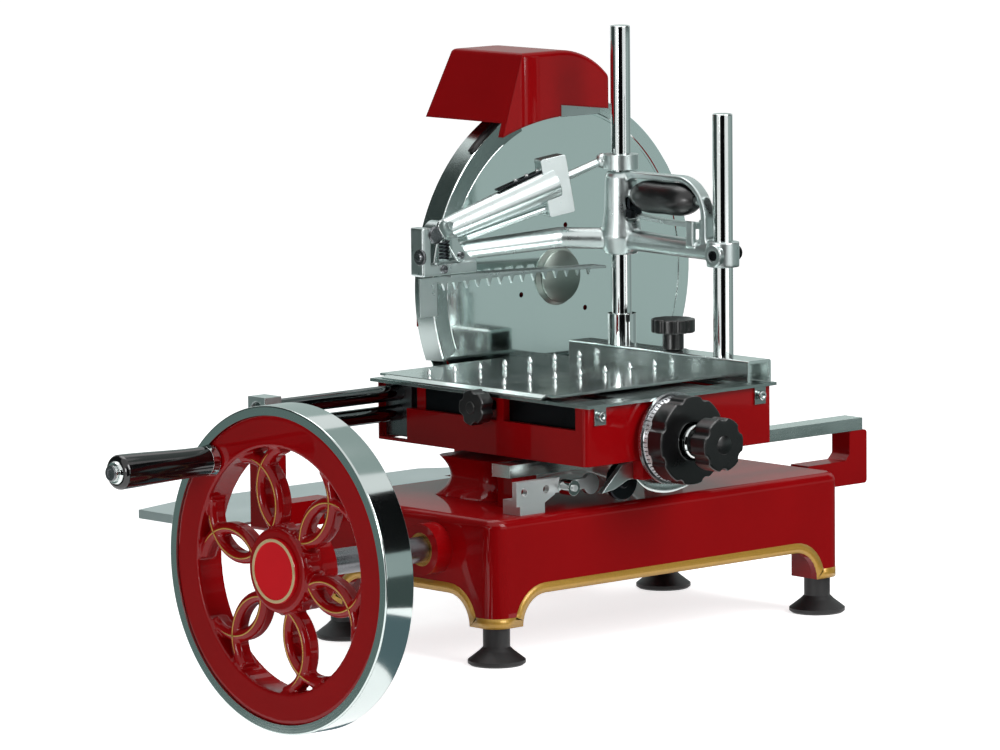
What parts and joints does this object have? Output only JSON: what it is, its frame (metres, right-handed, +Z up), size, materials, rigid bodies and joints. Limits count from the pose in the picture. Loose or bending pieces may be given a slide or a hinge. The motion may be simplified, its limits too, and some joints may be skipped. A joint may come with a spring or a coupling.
{
  "type": "hand crank meat slicer",
  "caption": "Counter-top slicer: a spoked flywheel with a handle turns a round blade through gears while a sliding carriage carries the meat table and toothed press",
  "frame": {"origin": "centre of the four rubber feet on the bench top", "axes": "+X along the machine away from the flywheel, +Y from the operator to the blade, +Z up"},
  "size_m": [0.7061, 0.4353, 0.5117],
  "materials": {
    "red_enamel": "glossy stoved enamel",
    "black_rubber": "matt",
    "chrome_plate": "polished",
    "brushed_sheet": "brushed",
    "blade_steel": "mirror polished",
    "cast_aluminium": "polished casting",
    "tray_aluminium": "satin anodised",
    "gear_steel": "oiled",
    "bronze_bush": "turned",
    "black_plastic": "glossy",
    "ring_steel": "satin, graduated",
    "stone_grey": "fine abrasive"
  },
  "bodies": {
    "base": {"base_casting": "red_enamel", "rubber_feet": "black_rubber", "gear_column": "red_enamel", "gear_cover": "red_enamel", "shaft_bushes": "bronze_bush", "idler_stud": "gear_steel", "blade_guard": "brushed_sheet", "sharpener_hood": "red_enamel", "sharpener_body": "cast_aluminium", "left_bracket": "red_enamel", "right_bracket": "red_enamel", "slide_rods": "chrome_plate", "rest_bar": "chrome_plate", "rod_blocks": "cast_aluminium", "drive_pedestal": "red_enamel", "feed_bracket": "cast_aluminium", "receiving_tray": "tray_aluminium"},
    "flywheel": {"flywheel_spider": "red_enamel", "flywheel_tyre": "chrome_plate", "hub_cap": "red_enamel", "wheel_shaft": "gear_steel", "drive_bevel": "gear_steel", "crank_pin": "chrome_plate"},
    "crank_handle": {"handle_grip": "black_plastic", "handle_ferrules": "chrome_plate"},
    "cross_drive": {"cross_shaft": "gear_steel", "driven_bevel": "gear_steel", "lower_gear": "gear_steel"},
    "idler": {"idler_gear": "gear_steel"},
    "blade_set": {"blade": "blade_steel", "blade_flange": "cast_aluminium", "blade_shaft": "gear_steel", "blade_gear": "gear_steel"},
    "stones": {"grinding_stones": "stone_grey"},
    "roller": {"feed_roller": "chrome_plate"},
    "carriage": {"carriage_box": "red_enamel", "drip_plate": "brushed_sheet", "carriage_saddle": "gear_steel", "plate_clips": "brushed_sheet", "dial_ring": "ring_steel", "table_guides": "brushed_sheet", "roller_bracket": "red_enamel", "lever_bracket": "red_enamel"},
    "bar_roller": {"rest_roller": "gear_steel"},
    "dial": {"thickness_dial": "black_plastic"},
    "feed_screw": {"feed_knob": "black_plastic", "lead_screw": "gear_steel"},
    "star": {"star_knob": "black_plastic"},
    "pawl_lever": {"feed_lever": "cast_aluminium"},
    "table": {"meat_table": "brushed_sheet", "table_slides": "gear_steel", "table_spikes": "chrome_plate", "end_rail": "brushed_sheet", "posts": "chrome_plate"},
    "clamp": {"clamp_knob": "black_plastic"},
    "meat_press": {"press_arm": "cast_aluminium", "press_strut": "cast_aluminium", "press_grip": "black_plastic"},
    "comb": {"press_comb": "cast_aluminium"},
    "squeeze": {"squeeze_lever": "cast_aluminium"}
  },
  "joints": [
    {"name": "flywheel_spin", "type": "hinge", "parent": "base", "child": "flywheel", "pos_m": [-0.337, -0.0354, 0.0867], "axis": [1, 0, 0], "continuous": true},
    {"name": "handle_spin", "type": "hinge", "parent": "flywheel", "child": "crank_handle", "pos_m": [-0.4, 0.03954, 0.16377], "axis": [1, 0, 0], "continuous": true},
    {"name": "cross_spin", "type": "hinge", "parent": "base", "child": "cross_drive", "pos_m": [0.089, 0.05, 0.0867], "axis": [0, 1, 0], "continuous": true},
    {"name": "idler_spin", "type": "hinge", "parent": "base", "child": "idler", "pos_m": [0.089, 0.156, 0.18672], "axis": [0, 1, 0], "continuous": true},
    {"name": "blade_spin", "type": "hinge", "parent": "base", "child": "blade_set", "pos_m": [0.089, 0.122, 0.2629], "axis": [0, 1, 0], "continuous": true},
    {"name": "stone_spin", "type": "hinge", "parent": "base", "child": "stones", "pos_m": [0.074, 0.12, 0.4199], "axis": [0, 1, 0], "continuous": true},
    {"name": "roller_spin", "type": "hinge", "parent": "base", "child": "roller", "pos_m": [-0.11, -0.102, 0.132], "axis": [0, 1, 0], "continuous": true},
    {"name": "carriage_slide", "type": "slide", "parent": "base", "child": "carriage", "axis": [1, 0, 0], "range_m": [-0.09, 0.19]},
    {"name": "bar_roller_spin", "type": "hinge", "parent": "carriage", "child": "bar_roller", "pos_m": [0.02, -0.055, 0.1572], "axis": [0, 1, 0], "range_deg": [-600, 1250]},
    {"name": "thickness_turn", "type": "hinge", "parent": "carriage", "child": "dial", "pos_m": [-0.033, -0.153, 0.166], "axis": [0, 1, 0], "range_deg": [0, 300]},
    {"name": "feed_turn", "type": "hinge", "parent": "carriage", "child": "feed_screw", "pos_m": [-0.033, -0.18, 0.166], "axis": [0, 1, 0], "range_deg": [0, 10800]},
    {"name": "table_feed", "type": "slide", "parent": "carriage", "child": "table", "axis": [0, 1, 0], "range_m": [-0.12, 0]},
    {"name": "star_turn", "type": "hinge", "parent": "carriage", "child": "star", "pos_m": [-0.13, -0.021, 0.189], "axis": [1, 0, 0], "range_deg": [-180, 180]},
    {"name": "pawl_swing", "type": "hinge", "parent": "carriage", "child": "pawl_lever", "pos_m": [-0.049, -0.117, 0.1429], "axis": [0, 1, 0], "range_deg": [-10, 25], "stiffness_Nm_per_rad": 0.5},
    {"name": "clamp_turn", "type": "hinge", "parent": "table", "child": "clamp", "pos_m": [0.069, -0.034, 0.235], "axis": [0, 0, 1], "range_deg": [-180, 180]},
    {"name": "press_slide", "type": "slide", "parent": "table", "child": "meat_press", "axis": [0, 0, 1], "range_m": [-0.03, 0.04]},
    {"name": "comb_tilt", "type": "hinge", "parent": "meat_press", "child": "comb", "pos_m": [-0.059, 0.095, 0.284], "axis": [0, 1, 0], "range_deg": [-2, 5]},
    {"name": "lever_squeeze", "type": "hinge", "parent": "meat_press", "child": "squeeze", "pos_m": [0.069, -0.062, 0.3184], "axis": [1, 0, 0], "range_deg": [0, 2.5], "stiffness_Nm_per_rad": 0.5}
  ],
  "couplings": [
    {"joint": "cross_spin", "follows": "flywheel_spin", "ratio": 1},
    {"joint": "idler_spin", "follows": "flywheel_spin", "ratio": -0.90909},
    {"joint": "blade_spin", "follows": "flywheel_spin", "ratio": 2},
    {"joint": "bar_roller_spin", "follows": "carriage_slide", "rad_per_m": 111.11},
    {"joint": "feed_turn", "follows": "table_feed", "rad_per_m": -1570.8}
  ]
}
